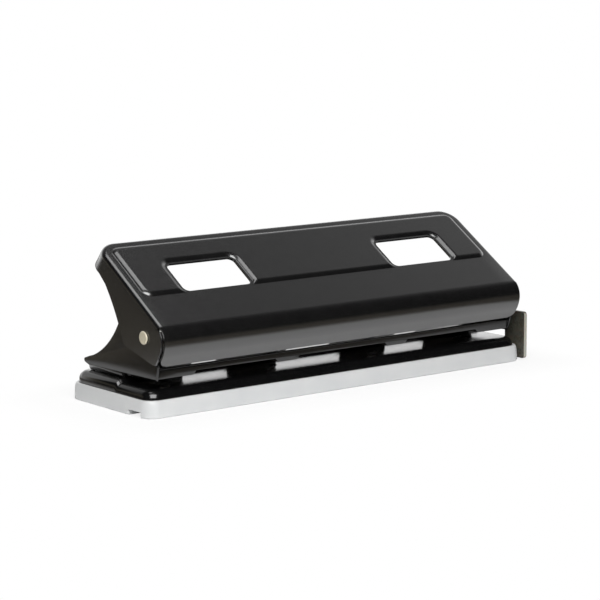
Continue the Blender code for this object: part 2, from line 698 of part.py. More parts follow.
def punch_frame():
    """One folded sheet: web for the pins, pillars on the deck, and cheeks for the lever's hinge."""
    half = CHEEK_INNER + INTO
    low = (-half, WEB_FRONT, WEB_BOTTOM)
    frame = box("punch_frame", low, (half, PILLAR_REAR, WEB_TOP), "gloss_enamel")
    low = (-half, WEB_FRONT, LIP_BOTTOM)
    join(frame, box("frame_lip", low, (half, WEB_FRONT + THICK_SHEET, WEB_TOP - INTO)))
    for sign in (-1, 1):
        side = "right" if sign > 0 else "left"
        for number, (near, far) in enumerate(STATION_RANGES):
            join(frame, station_tab(f"{side}_{number}", sign, near, far))
            join(frame, station_shelf(f"{side}_{number}", sign, near, far))
        for number, (near, far) in enumerate(PILLAR_RANGES):
            join(frame, pillar(f"{side}_{number}", sign, near, far))
            join(frame, pillar_foot(f"{side}_{number}", sign, near, far))
        for number, (near, far) in enumerate(FLANGE_RANGES):
            join(frame, flange(f"{side}_{number}", sign, near, far))
        middle = sign * (CHEEK_INNER + CHEEK_OUTER) / 2
        cheek = plate("frame_cheek_" + side, [frame_cheek_outline()], THICK_SHEET, side_view(middle))
        join(frame, cheek)
        cut(frame, cylinder("frame_hinge_cut_" + side, (middle, PIVOT_Y, PIVOT_Z), (1, 0, 0),
                            HINGE_HOLE_RADIUS, THROUGH))
        for number, x in enumerate(FOOT_RIVETS):
            centre = (sign * x, FOOT_RIVET_Y, FOOT_BOTTOM)
            name = f"foot_cut_{side}_{number}"
            cut(frame, cylinder(name, centre, (0, 0, 1), RIVET_HOLE_RADIUS, THROUGH, 12))
    for number, x in enumerate(STATIONS):
        centre = (x, PIN_Y, (STATION_BOTTOM + WEB_TOP) / 2)
        cut(frame, cylinder(f"pin_cut_{number}", centre, (0, 0, 1), GUIDE_HOLE_RADIUS, THROUGH))


def front_view(y):
    """Places an outline drawn in X and Z on the plane at y."""
    return turned_to((1, 0, 0), (0, 0, 1), (0, -1, 0), (0, y, 0))


def station_tab(label, sign, near, far):
    """Front of a station: the lip runs down to the guide shelf, with its lower corners cut off."""
    slant = STATION_SLANT
    top = WEB_TOP - 2 * INTO
    outline = [(near, top), (near, STATION_BOTTOM + slant), (near + slant, STATION_BOTTOM)]
    if far > CHEEK_INNER:
        outline += [(far, STATION_BOTTOM), (far, top)]
    else:
        outline += [(far - slant, STATION_BOTTOM), (far, STATION_BOTTOM + slant), (far, top)]
    outline = [(sign * x, z) for x, z in outline]
    return plate("tab_" + label, [outline], THICK_SHEET, front_view(WEB_FRONT + THICK_SHEET / 2))


def station_shelf(label, sign, near, far):
    """Lower guide of a station, just above the paper."""
    wide = far if far > CHEEK_INNER else far - STATION_SLANT
    ends = sorted((sign * (near + STATION_SLANT), sign * wide))
    low = (ends[0], WEB_FRONT + INTO, STATION_BOTTOM)
    high = (ends[1], PILLAR_REAR - INTO, STATION_BOTTOM + THICK_SHEET)
    return box("shelf_" + label, low, high)


def pillar(label, sign, near, far):
    ends = sorted((sign * near, sign * far))
    low = (ends[0], PILLAR_FRONT, FOOT_BOTTOM)
    high = (ends[1], PILLAR_REAR, WEB_TOP - INTO)
    return box("pillar_" + label, low, high)


def flange(label, sign, near, far):
    """Stiffens the web's rear edge between the free gaps."""
    ends = sorted((sign * near, sign * far))
    low = (ends[0], PILLAR_FRONT, WEB_BOTTOM + INTO)
    high = (ends[1], PILLAR_REAR, FLANGE_TOP)
    return box("flange_" + label, low, high)


def pillar_foot(label, sign, near, far):
    """Foot of a pillar on the deck, with round rear corners."""
    ends = sorted((sign * near, sign * far))
    outline = rounded_rectangle((ends[0], PILLAR_FRONT + INTO), (ends[1], FOOT_REAR), FOOT_CORNER, 3)
    place = Matrix.Translation((0, 0, FOOT_BOTTOM + THICK_SHEET / 2))
    return plate("foot_" + label, [outline], THICK_SHEET, place)


def base_loop(inset, lowered):
    """Points of the base plate's outline, set in and lowered from its top surface."""
    radius = BASE_CORNER - inset
    low = (-BASE_HALF_LENGTH + inset, BASE_FRONT + inset)
    high = (BASE_HALF_LENGTH - inset, BASE_REAR - inset)
    steps = (STEP_FRONT, (STEP_FRONT + STEP_REAR) / 2, STEP_REAR)
    outline = rounded_rectangle(low, high, radius, 5)
    quarter = len(outline) // 4
    outline = (outline[:quarter] + [(high[0], y) for y in steps] + outline[quarter:3 * quarter]
               + [(low[0], y) for y in reversed(steps)] + outline[3 * quarter:])
    return [(x, y, base_top(y) - lowered) for x, y in outline]


def base_top(y):
    return TABLE_TOP + (DECK_TOP - TABLE_TOP) * smooth_step(y, STEP_FRONT, STEP_REAR)


def base_plate():
    """The pressed pan: skirt, rolled edge, paper table, the step that stops the paper, and the deck."""
    bm = bmesh.new()
    radius = BASE_EDGE_RADIUS
    loops = []
    skirt = [bm.verts.new((x, y, BASE_SKIRT_BOTTOM)) for x, y, _ in base_loop(0.0, 0.0)]
    loops.append(skirt)
    steps = 6
    for i in range(steps + 1):
        angle = math.radians(90 * i / steps)
        loop = base_loop(radius * (1 - math.cos(angle)), radius * (1 - math.sin(angle)))
        loops.append([bm.verts.new(point) for point in loop])
    for outer, inner in zip(loops, loops[1:]):
        for i in range(len(outer)):
            after = (i + 1) % len(outer)
            bm.faces.new((outer[i], outer[after], inner[after], inner[i]))
    top = loops[-1]
    right = [i for i, v in enumerate(top) if v.co.x > 0 and STEP_FRONT - 1e-6 < v.co.y < STEP_REAR + 1e-6]
    left = [i for i, v in enumerate(top) if v.co.x < 0 and STEP_FRONT - 1e-6 < v.co.y < STEP_REAR + 1e-6]
    for i in range(2):
        bm.faces.new((top[right[i]], top[right[i + 1]], top[left[1 - i]], top[left[2 - i]]))
    bm.faces.new([top[i] for i in range(right[2], left[0] + 1)])
    bm.faces.new([top[i] for i in list(range(left[2], len(top))) + list(range(0, right[0] + 1))])
    item = from_bmesh("base_plate", bm, "gloss_enamel")
    shell = item.modifiers.new("sheet", "SOLIDIFY")
    shell.thickness = THICK_SHEET
    shell.offset = -1
    shell.use_even_offset = True
    for number, x in enumerate(STATIONS):
        cut(item, cylinder(f"die_cut_{number}", (x, PIN_Y, TABLE_TOP), (0, 0, 1), DIE_HOLE_RADIUS, THROUGH))
    for number, x in enumerate(sorted([-x for x in FOOT_RIVETS] + list(FOOT_RIVETS))):
        centre = (x, FOOT_RIVET_Y, DECK_TOP)
        cut(item, cylinder(f"deck_rivet_cut_{number}", centre, (0, 0, 1), RIVET_HOLE_RADIUS, THROUGH, 12))
    smooth(item)


def frame_rivet(number, x):
    """Domed above the frame's foot, headed over under the deck."""
    above = FOOT_BOTTOM + THICK_SHEET + GAP
    under = DECK_TOP - THICK_SHEET - GAP
    profile = [(0, above + RIVET_HEAD), (RIVET_HEAD_RADIUS * 0.55, above + RIVET_HEAD * 0.85),
               (RIVET_HEAD_RADIUS * 0.9, above + RIVET_HEAD * 0.45), (RIVET_HEAD_RADIUS, above),
               (RIVET_SHANK_RADIUS, above), (RIVET_SHANK_RADIUS, under),
               (RIVET_HEAD_RADIUS, under), (RIVET_HEAD_RADIUS - TAIL_TAPER, under - RIVET_HEAD),
               (0, under - RIVET_HEAD)]
    turned(f"frame_rivet_{number}", profile, Matrix.Translation((x, FOOT_RIVET_Y, 0)), "plated_steel", 12)


def hinge_pin(side, sign):
    """Riveted pin: head outside the lever's cheek, tail inside the frame's cheek."""
    outer = LEVER_HALF_LENGTH + GAP
    inner = CHEEK_INNER - GAP
    profile = [(0, outer + HINGE_HEAD), (HINGE_HEAD_RADIUS - HEAD_EDGE, outer + HINGE_HEAD),
               (HINGE_HEAD_RADIUS, outer + HINGE_HEAD - HEAD_EDGE), (HINGE_HEAD_RADIUS, outer),
               (HINGE_SHANK_RADIUS, outer), (HINGE_SHANK_RADIUS, inner), (HINGE_TAIL_RADIUS, inner),
               (HINGE_TAIL_RADIUS - TAIL_TAPER, inner - RIVET_HEAD), (0, inner - RIVET_HEAD)]
    along = Matrix.Rotation(math.radians(90 * sign), 4, "Y")
    turned("hinge_pin_" + side, profile, Matrix.Translation((0, PIVOT_Y, PIVOT_Z)) @ along, "nickel")


def tray_outline(set_in_x, set_in_y, radius, steps=6):
    low = (-TRAY_LENGTH / 2 + set_in_x, FRONT + set_in_y)
    high = (TRAY_LENGTH / 2 - set_in_x, REAR - set_in_y)
    return rounded_rectangle(low, high, radius, steps)


def lofted(name, loops, finish):
    """Closed solid through stacked outlines of the same count, as (outline, height) pairs from below."""
    bm = bmesh.new()
    rings = [[bm.verts.new((x, y, z)) for x, y in outline] for outline, z in loops]
    for lower, upper in zip(rings, rings[1:]):
        for i in range(len(lower)):
            after = (i + 1) % len(lower)
            bm.faces.new((lower[i], lower[after], upper[after], upper[i]))
    bm.faces.new(rings[0][::-1])
    bm.faces.new(rings[-1])
    return from_bmesh(name, bm, finish)


def chip_tray():
    """Soft plastic tray: thin rim round the base plate's skirt, a ledge under it, and the guide channel."""
    foot = TRAY_FOOT
    rim_x = TRAY_RIM_SET_IN_X
    rim_y = TRAY_RIM_SET_IN_Y
    body = lofted("chip_tray", [
        (tray_outline(foot, foot, TRAY_CORNER - foot), 0.0),
        (tray_outline(0, 0, TRAY_CORNER), foot),
        (tray_outline(rim_x / 4, rim_y / 4, TRAY_CORNER), TRAY_LEDGE_TOP),
        (tray_outline(rim_x * 0.7, rim_y * 0.7, TRAY_CORNER), TRAY_HEIGHT - TRAY_RIM_EDGE),
        (tray_outline(rim_x, rim_y, TRAY_CORNER), TRAY_HEIGHT),
    ], "frosted_plastic")
    clear = INTO
    rim_outline = tray_outline(TRAY_LENGTH / 2 - BASE_HALF_LENGTH - clear, BASE_FRONT - FRONT - clear,
                               BASE_CORNER + clear)
    place = Matrix.Translation((0, 0, TRAY_LEDGE_TOP + TRAY_HEIGHT / 2))
    rim = plate("rim_cut", [rim_outline], TRAY_HEIGHT, place)
    roof_top = CHANNEL_HEIGHT + CHANNEL_ROOF
    ledge_y = TRAY_LEDGE + PAST
    height = TRAY_LEDGE_TOP + PAST - roof_top
    upper = plate("cavity_cut", [tray_outline(TRAY_LEDGE, ledge_y, TRAY_CORNER - INTO)], height,
                  Matrix.Translation((0, 0, roof_top + height / 2)))
    low = (-TRAY_LENGTH / 2 + TRAY_LEDGE, CHANNEL_REAR + CHANNEL_WALL)
    high = (TRAY_LENGTH / 2 - TRAY_LEDGE, REAR - ledge_y)
    height = roof_top + INTO - TRAY_FLOOR
    lower = plate("chip_space_cut", [rounded_rectangle(low, high, CHIP_SPACE_CORNER, 4)], height,
                  Matrix.Translation((0, 0, TRAY_FLOOR + height / 2)))
    cut(body, rim, upper, lower)
    end = TRAY_LENGTH / 2 + PAST
    mouth_top = CHANNEL_LIP_HEIGHT + INTO
    open_front = CHANNEL_FRONT + CHANNEL_LIP
    open_rear = CHANNEL_REAR - CHANNEL_LIP
    notch_end = -TRAY_LENGTH / 2 + CHANNEL_END_NOTCH
    low = (-end, CHANNEL_FRONT, CHANNEL_LIP_HEIGHT)
    cut(body, box("channel_cut", low, (end, CHANNEL_REAR, CHANNEL_HEIGHT)))
    cut(body, box("channel_mouth_cut", (-end, open_front, -PAST), (end, open_rear, mouth_top)))
    cut(body, box("notch_cut", (-end, CHANNEL_FRONT, -PAST), (notch_end, CHANNEL_REAR, mouth_top)))
    smooth(body)


def paper_guide():
    """A strip in the tray's channel, with the stop that stands up at the tray's end."""
    start = TRAY_LENGTH / 2 + GAP
    front = CHANNEL_FRONT + GAP + INTO
    rear = CHANNEL_REAR - GAP - INTO
    thickness = GUIDE_STRIP_TOP - GUIDE_STRIP_BOTTOM
    end = start + FLAG_THICKNESS
    outline = rounded_rectangle((GUIDE_STRIP_START, front), (end, rear), GUIDE_STRIP_CORNER, 4)
    place = Matrix.Translation((0, 0, GUIDE_STRIP_BOTTOM + thickness / 2))
    strip = plate("paper_guide", [outline], thickness, place, "smoky_plastic")
    low = (FLAG_FRONT, GUIDE_STRIP_BOTTOM)
    high = (FLAG_REAR, FLAG_TOP)
    outline = rounded_rectangle(low, high, FLAG_CORNER, 4)
    flag = plate("flag", [outline], FLAG_THICKNESS, side_view(start + FLAG_THICKNESS / 2))
    join(strip, flag)
    move_origin(strip, (start, (CHANNEL_FRONT + CHANNEL_REAR) / 2, GUIDE_STRIP_BOTTOM))


def build():
    start_clean()
    make_materials()
    chip_tray()
    paper_guide()
    base_plate()
    punch_frame()
    for number, x in enumerate(sorted([-x for x in FOOT_RIVETS] + list(FOOT_RIVETS)), 1):
        frame_rivet(number, x)
    for number, x in enumerate(STATIONS, 1):
        punch_pin(number, x)
        spring_seat(number, x)
        punch_spring(number, x)
    lever()
    press_bar()
    hinge_pin("left", -1)
    hinge_pin("right", 1)


build()
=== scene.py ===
"""Four hole punch in studio light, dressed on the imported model. Metres, +Z up."""

import math

import bmesh
import bpy
import numpy as np
from mathutils import Matrix, Vector
from mathutils.geometry import delaunay_2d_cdt

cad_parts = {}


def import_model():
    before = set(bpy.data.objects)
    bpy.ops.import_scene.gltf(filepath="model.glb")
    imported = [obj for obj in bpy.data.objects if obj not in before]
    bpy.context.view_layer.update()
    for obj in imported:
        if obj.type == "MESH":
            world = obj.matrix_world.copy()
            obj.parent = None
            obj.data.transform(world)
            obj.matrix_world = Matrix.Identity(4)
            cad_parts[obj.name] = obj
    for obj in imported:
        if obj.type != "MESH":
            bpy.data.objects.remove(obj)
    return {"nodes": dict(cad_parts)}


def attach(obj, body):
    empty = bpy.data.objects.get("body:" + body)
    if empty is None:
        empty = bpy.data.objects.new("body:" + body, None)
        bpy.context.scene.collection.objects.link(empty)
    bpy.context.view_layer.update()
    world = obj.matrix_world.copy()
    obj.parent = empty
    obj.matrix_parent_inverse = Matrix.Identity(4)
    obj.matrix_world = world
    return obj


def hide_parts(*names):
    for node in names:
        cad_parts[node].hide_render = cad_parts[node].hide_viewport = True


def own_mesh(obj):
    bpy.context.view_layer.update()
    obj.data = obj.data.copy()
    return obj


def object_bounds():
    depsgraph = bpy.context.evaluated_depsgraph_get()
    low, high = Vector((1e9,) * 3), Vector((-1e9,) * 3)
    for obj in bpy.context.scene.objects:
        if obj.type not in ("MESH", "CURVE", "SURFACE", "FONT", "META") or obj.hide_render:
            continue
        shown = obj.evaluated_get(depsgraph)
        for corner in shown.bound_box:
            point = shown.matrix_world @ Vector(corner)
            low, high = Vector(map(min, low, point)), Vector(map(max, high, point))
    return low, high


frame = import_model()
cad_low, cad_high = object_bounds()

# Camera at the photograph's place
CAMERA_PLACE = Vector((-0.8174, -1.0449, 0.2594))
CAMERA_YAW = math.radians(37.90)
CAMERA_PITCH = math.radians(8.96)
CAMERA_ROLL = math.radians(-0.33)
CAMERA_LENS = 127.8

# White floor: bright paper that reaches this far round the part, and the dim room past it
FLOOR_HALF_SIZE = 12.0
PAPER_EDGE = (0.055, 0.090)
PAPER_TONE = (0.96, 0.96, 0.96)
ROOM_TONE = (0.130, 0.112, 0.082)
MIRRORED_SHARE = 0.04

# Share of the floor that the camera sees as plain white, at the part and past its shadow
WHITE_SHARE = (0.80, 1.0)
SHADOW_REACH = 0.050

# Backdrop behind the part: its sides and top as parts of the view's direction, and its light
BACKDROP_EDGE = (0.20, 0.62)
BACKDROP_TOP = (-0.15, 1.04)
BACKDROP_LIGHT = 1.45
ROOM_LIGHT = 0.006

# Lamps: a key light over the camera's left shoulder, a softbox over the lever, a dim warm card at the left
KEY_PLACE = (-0.60, -0.98, 0.95)
KEY_TARGET = (0, 0, 0.03)
KEY_SIZE = (1.15, 1.15)
KEY_POWER = 25.5
TOP_PLACE = (-0.03, 0.08, 1.15)
TOP_TARGET = (-0.03, 0.08, 0.0)
TOP_SIZE = (0.80, 0.35)
TOP_POWER = 2.1
CARD_PLACE = (-0.95, 0.85, 0.36)
CARD_TARGET = (-0.14, 0, 0.02)
CARD_SIZE = (0.9, 0.38)
CARD_POWER = 0.25
CARD_COLOUR = (1.0, 0.90, 0.68)

# Noise values from low to high that are spread over a range
NOISE_LOW = 0.3
NOISE_HIGH = 0.7

# The lever's pressed sheet, as in the part's source
FRONT = -0.0430
SHEET = 0.0012
PIVOT = Vector((0, FRONT + 0.0132, 0.0460))
SLOPE = math.radians(32.48)
PLATE_FROM_PIVOT = 0.01457
LEVER_HALF_LENGTH = 0.1417
LIP_RADIUS = 0.0190
LIP_END_ANGLE = math.radians(233.4)
LIP_FLAT_ANGLE = math.radians(213.0)
LIP_HALF_LENGTH = 0.1401
LIP_CORNER = 0.0050
NOSE_RADIUS = 0.0120
FOLD_RADIUS = 0.0030
FOLD_END_ANGLE = math.radians(129.0)
CHEEK_END_ANGLE = math.radians(132.0)
PLATE_CORNER = 0.0100
FLAT_END = 0.0674
CORNER_START_X = LEVER_HALF_LENGTH - FOLD_RADIUS - PLATE_CORNER
CORNER_START_SLOPE = FLAT_END - PLATE_CORNER
CHEEK_SET_IN = 0.0018
WALL_DEPTH_SIDE = 0.0124
WALL_DEPTH_REAR = 0.0148
SKIRT_BEND = math.radians(80.0)
SHEET_EDGE_ROUND = 0.00025
SHEET_EDGE_ANGLE = 50
HINGE_HOLE_RADIUS = 0.0028

# A cheek's free edge in Y and Z: the long rear arc, the heel under the hinge and the toe at the lip
CHEEK_REAR_CENTRE = (FRONT + 0.1540, -0.0035)
CHEEK_REAR_RADIUS = 0.1258
CHEEK_REAR_START = 142.6
CHEEK_REAR_END = 158.0
CHEEK_HEEL_CENTRE = (FRONT + 0.0325, 0.0424)
CHEEK_HEEL_RADIUS = 0.0040
CHEEK_TOE = (FRONT + 0.0052, 0.0309)

# The lever's windows and raised panel, along X and up the slope
WINDOW_NEAR = 0.0565
WINDOW_FAR = 0.1061
WINDOW_LOW = 0.0194
WINDOW_HIGH = 0.0448
WINDOW_CORNER = 0.0040
WINDOW_MARGIN = 0.0015
PANEL_HALF_LENGTH = 0.1351
PANEL_LOW = 0.0186
PANEL_HIGH = 0.0645
PANEL_CORNER = 0.0060
PANEL_RISE = 0.0014
PANEL_RAMP = 0.0032

# Lines over the panel's step as shares of its width, closest at the sharp foot
RAMP_LINES = (-0.10, 0.0, 0.06, 0.14, 0.26, 0.40, 0.55, 0.70, 0.85, 1.0, 1.20)

# Punch frame: the cheeks, the round bend along the web's front, and the bends under the cheeks
CHEEK_INNER = 0.1387
CHEEK_OUTER = 0.1402
CHEEK_LOWEST = 0.01965
CHEEK_LIFT = 0.00135
CHEEK_LIFT_TOP = 0.0270
CHEEK_LIFT_FADE = 0.0040
BEAD_RADIUS = 0.0008
BEAD_Y = FRONT + 0.0058
BEAD_Z = 0.0275
BEND_START = FRONT + 0.0400
BEND_END = FRONT + 0.0762
BEND_TOP = 0.0212
BEND_BOTTOM = 0.01786
BEND_WIDTH = 0.0016
BEND_COVER = 0.0001
BEND_INSET = 0.0010
FRAME_EDGE_ROUND = 0.00035
FRAME_EDGE_ANGLE = 30

# Springs, as in the part's source
STATIONS = (-0.1200, -0.0400, 0.0400, 0.1200)
PIN_Y = FRONT + 0.0252
SPRING_LOW = 0.0288
SPRING_HIGH = 0.04434
WIRE_RADIUS = 0.0004
COIL_RADIUS = 0.0041
COIL_TURNS = 7
CLOSED_TURNS = 0.75
COIL_STEPS = 36
WIRE_SIDES = 10

# Meshes: doubles closer than this are one point, CAD facets flatter than this are one face
MERGE = 0.000002
SHEET_MERGE = 0.000004
FLAT_ANGLE = 0.5
EDGE_ANGLE = 40

# Points round a circle's 24 facets, the last one just before the first
CIRCLE_END = 345
CIRCLE_STEPS = 23

# Columns of the lever's sheet from end to end
ACROSS = 24


# Node helpers

def new_material(name):
    """A new material, as (material, nodes, links, principled shader)."""
    made = bpy.data.materials.new(name)
    made.use_nodes = True
    return made, made.node_tree.nodes, made.node_tree.links, made.node_tree.nodes["Principled BSDF"]


def noise(made, scale, detail):
    """Noise over the object's own coordinates, with scale in lumps per metre."""
    nodes = made.node_tree.nodes
    place = nodes.new("ShaderNodeTexCoord")
    texture = nodes.new("ShaderNodeTexNoise")
    texture.inputs["Scale"].default_value = scale
    texture.inputs["Detail"].default_value = detail
    made.node_tree.links.new(place.outputs["Object"], texture.inputs["Vector"])
    return texture.outputs["Fac"]


def spread(made, value, low, high):
    """Turn a noise value into a range of values."""
    step = made.node_tree.nodes.new("ShaderNodeMapRange")
    step.inputs["From Min"].default_value = NOISE_LOW
    step.inputs["From Max"].default_value = NOISE_HIGH
    step.inputs["To Min"].default_value = low
    step.inputs["To Max"].default_value = high
    made.node_tree.links.new(value, step.inputs["Value"])
    return step.outputs["Result"]


def two_colours(made, value, first, second):
    """Mix two colours by a value from 0 to 1. The second may be a socket."""
    mix = made.node_tree.nodes.new("ShaderNodeMix")
    mix.data_type = "RGBA"
    mix.inputs["A"].default_value = (*first, 1)
    if isinstance(second, tuple):
        mix.inputs["B"].default_value = (*second, 1)
    else:
        made.node_tree.links.new(second, mix.inputs["B"])
    made.node_tree.links.new(value, mix.inputs["Factor"])
    return mix.outputs["Result"]


def bump(made, height, strength, distance):
    """Turn a noise value into a fine relief, with its height in metres."""
    step = made.node_tree.nodes.new("ShaderNodeBump")
    step.inputs["Strength"].default_value = strength
    step.inputs["Distance"].default_value = distance
    made.node_tree.links.new(height, step.inputs["Height"])
    return step.outputs["Normal"]


def finish_of(name, tones, clouds, roughness, grain, skin=None):
    """A finish with two cloudy tones, a range of roughness and a fine skin.

    Clouds and grain are the scale and detail of a noise. The skin has these, its strength and its height.
    """
    made, _, links, shader = new_material(name)
    mottle = spread(made, noise(made, *clouds), 0.0, 1.0)
    links.new(two_colours(made, mottle, *tones), shader.inputs["Base Color"])
    links.new(spread(made, noise(made, *grain), *roughness), shader.inputs["Roughness"])
    if skin is not None:
        scale, detail, strength, height = skin
        links.new(bump(made, noise(made, scale, detail), strength, height), shader.inputs["Normal"])
    return made, shader


def coated(shader, specular, coat, coat_roughness):
    """Set the gloss of an enamel and of the clear coat on it."""
    shader.inputs["Specular IOR Level"].default_value = specular
    shader.inputs["Coat Weight"].default_value = coat
    shader.inputs["Coat Roughness"].default_value = coat_roughness


def satin_enamel():
    """Powder-coated sheet: fine orange peel, soft gloss."""
    made, shader = finish_of(
        "satin_enamel",
        tones=((0.0040, 0.0040, 0.0042), (0.0060, 0.0059, 0.0060)),
        clouds=(90, 3.0),
        roughness=(0.22, 0.27),
        grain=(260, 4.0),
        skin=(1100, 1.0, 0.03, 0.00005),
    )
    coated(shader, specular=1.0, coat=1.0, coat_roughness=0.19)
    return made


def gloss_enamel():
    """Stoved enamel: near-mirror gloss with a slow ripple."""
    made, shader = finish_of(
        "gloss_enamel",
        tones=((0.0030, 0.0030, 0.0033), (0.0045, 0.0045, 0.0047)),
        clouds=(70, 3.0),
        roughness=(0.16, 0.22),
        grain=(220, 3.0),
        skin=(240, 1.0, 0.12, 0.00008),
    )
    coated(shader, specular=0.5, coat=0.5, coat_roughness=0.13)
    return made


def frosted_plastic():
    """Soft translucent plastic with a fine frosted skin."""
    made, shader = finish_of(
        "frosted_plastic",
        tones=((0.595, 0.606, 0.613), (0.655, 0.662, 0.662)),
        clouds=(35, 3.0),
        roughness=(0.36, 0.48),
        grain=(500, 2.0),
        skin=(2200, 2.0, 0.15, 0.00004),
    )
    shader.inputs["Subsurface Weight"].default_value = 0.35
    shader.inputs["Subsurface Radius"].default_value = (1.0, 1.0, 1.0)
    shader.inputs["Subsurface Scale"].default_value = 0.0030
    return made


def smoky_plastic():
    """Hard translucent pale plastic of the paper guide, with painted shade: dark on its faces, pale along its
    narrow front edge.
    """
    # Painted shade: the dark tones below stand for the shade on the guide's faces, while the plastic itself
    # is pale.
    made, shader = finish_of(
        "smoky_plastic",
        tones=((0.060, 0.057, 0.045), (0.074, 0.070, 0.056)),
        clouds=(60, 3.0),
        roughness=(0.24, 0.34),
        grain=(400, 2.0),
        skin=(1500, 2.0, 0.10, 0.00004),
    )
    nodes = made.node_tree.nodes
    links = made.node_tree.links
    colour = shader.inputs["Base Color"]
    face = colour.links[0].from_socket
    split = nodes.new("ShaderNodeSeparateXYZ")
    links.new(nodes.new("ShaderNodeNewGeometry").outputs["Normal"], split.inputs["Vector"])
    # Painted shade: faces turned away from the front keep the dark tones, and only the front-facing edge gets
    # the pale colour.
    unshaded_front = eased(made, split.outputs["Y"], -0.95, -0.55, 0.0, 1.0)
    links.new(two_colours(made, unshaded_front, (0.40, 0.39, 0.34), face), colour)
    shader.inputs["Subsurface Weight"].default_value = 0.2
    shader.inputs["Subsurface Scale"].default_value = 0.0015
    return made


def plated_steel():
    """Zinc-plated steel, faintly cloudy."""
    made, shader = finish_of(
        "plated_steel",
        tones=((0.56, 0.55, 0.52), (0.66, 0.65, 0.61)),
        clouds=(600, 3.0),
        roughness=(0.20, 0.36),
        grain=(900, 3.0),
        skin=(2500, 2.0, 0.08, 0.00003),
    )
    shader.inputs["Metallic"].default_value = 1.0
    return made


def spring_steel():
    """Bright wire of the return springs."""
    made, shader = finish_of(
        "spring_steel",
        tones=((0.40, 0.40, 0.41), (0.50, 0.50, 0.50)),
        clouds=(900, 2.0),
        roughness=(0.24, 0.34),
        grain=(1200, 2.0),
    )
    shader.inputs["Metallic"].default_value = 1.0
    return made


def nickel():
    """Matte nickel plate of the hinge pins."""
    made, shader = finish_of(
        "nickel",
        tones=((0.74, 0.68, 0.52), (0.82, 0.76, 0.60)),
        clouds=(700, 3.0),
        roughness=(0.36, 0.48),
        grain=(1100, 3.0),
        skin=(2600, 2.0, 0.15, 0.00003),
    )
    shader.inputs["Metallic"].default_value = 0.25
    return made


# Shapes of the lever's sheet

UP_SLOPE = Vector((0, math.cos(SLOPE), math.sin(SLOPE)))
PLATE_OUT = Vector((0, -math.sin(SLOPE), math.cos(SLOPE)))
NOSE_OUT = PLATE_FROM_PIVOT - NOSE_RADIUS
NOSE_BACK = math.sqrt((LIP_RADIUS - NOSE_RADIUS) ** 2 - NOSE_OUT ** 2)
NOSE_CENTRE = PIVOT - UP_SLOPE * NOSE_BACK + PLATE_OUT * NOSE_OUT
NOSE_TOP_ANGLE = SLOPE + math.pi / 2
NOSE_BOTTOM_ANGLE = math.atan2((NOSE_CENTRE - PIVOT).z, (NOSE_CENTRE - PIVOT).y) % math.tau


def on_plate(x, slope, out=0.0):
    """A point by its place along the lever, its distance up the slope and its height off the plate."""
    return PIVOT + Vector((x, 0, 0)) + UP_SLOPE * slope + PLATE_OUT * (PLATE_FROM_PIVOT + out)


def on_circle(centre, radius, angle):
    """A point on a circle in the plane across the lever, at an angle from +Y towards +Z."""
    return centre + Vector((0, math.cos(angle), math.sin(angle))) * radius


def on_lip(radius, angle):
    """A point on the lip: an arc about the hinge that runs out straight at its foot."""
    if angle <= LIP_FLAT_ANGLE:
        return on_circle(PIVOT, radius, angle)
    along = Vector((0, -math.sin(LIP_FLAT_ANGLE), math.cos(LIP_FLAT_ANGLE)))
    return on_circle(PIVOT, radius, LIP_FLAT_ANGLE) + along * LIP_RADIUS * (angle - LIP_FLAT_ANGLE)


def arc(centre, radius, start, end, steps):
    """Points on an arc, both ends included, with the angles in degrees."""
    points = []
    for i in range(steps + 1):
        angle = math.radians(start + (end - start) * i / steps)
        points.append((centre[0] + radius * math.cos(angle), centre[1] + radius * math.sin(angle)))
    return points


def ring(low, high, radius, steps):
    """Counter-clockwise outline of a rectangle with round corners."""
    corners = (
        ((high[0] - radius, low[1] + radius), -90),
        ((high[0] - radius, high[1] - radius), 0),
        ((low[0] + radius, high[1] - radius), 90),
        ((low[0] + radius, low[1] + radius), 180),
    )
    outline = []
    for centre, start in corners:
        outline += arc(centre, radius, start, start + 90, steps)
    return outline


def smooth_step(value, start, end):
    """Ease from 0 to 1 while the value runs from start to end."""
    t = min(max((value - start) / (end - start), 0.0), 1.0)
    return t * t * (3 - 2 * t)


def rounded_box_distance(x, y, half_x, half_y, radius):
    """Signed distance from a rounded rectangle about the origin, negative inside."""
    over_x = abs(x) - half_x + radius
    over_y = abs(y) - half_y + radius
    outside = math.hypot(max(over_x, 0.0), max(over_y, 0.0))
    return outside + min(max(over_x, over_y), 0.0) - radius


def from_window(x, slope):
    """Distance from the nearer window's edge, negative in the window."""
    return rounded_box_distance(
        abs(x) - (WINDOW_NEAR + WINDOW_FAR) / 2,
        slope - (WINDOW_LOW + WINDOW_HIGH) / 2,
        (WINDOW_FAR - WINDOW_NEAR) / 2,
        (WINDOW_HIGH - WINDOW_LOW) / 2,
        WINDOW_CORNER,
    )


def pressed_share(distance):
    """How far a press has raised the sheet: a sharp bend at the foot of the step, a soft one on top."""
    t = min(max(distance / PANEL_RAMP, 0.0), 1.0)
    return 1 - (1 - t) ** 2


def panel_rise(x, slope):
    """Height of the raised panel, which steps down round its edge and round both windows."""
    middle = (PANEL_LOW + PANEL_HIGH) / 2
    half = (PANEL_HIGH - PANEL_LOW) / 2
    edge = -rounded_box_distance(x, slope - middle, PANEL_HALF_LENGTH, half, PANEL_CORNER)
    return PANEL_RISE * pressed_share(edge) * pressed_share(from_window(x, slope) - WINDOW_MARGIN)


def filled(outline, extra, keep):
    """Triangles over an outline and the lines inside it, as (points, faces), where keep says so."""
    points = []
    edges = []
    for loop in [outline] + extra:
        start = len(points)
        points += [Vector(p) for p in loop]
        edges += [(start + i, start + (i + 1) % len(loop)) for i in range(len(loop))]
    found = delaunay_2d_cdt(points, edges, [list(range(len(outline)))], 1, 1e-7)
    places = [tuple(p) for p in found[0]]
    faces = []
    for face in found[2]:
        middle = np.mean([places[i] for i in face], axis=0)
        if keep(middle[0], middle[1]):
            faces.append(face)
    return places, faces


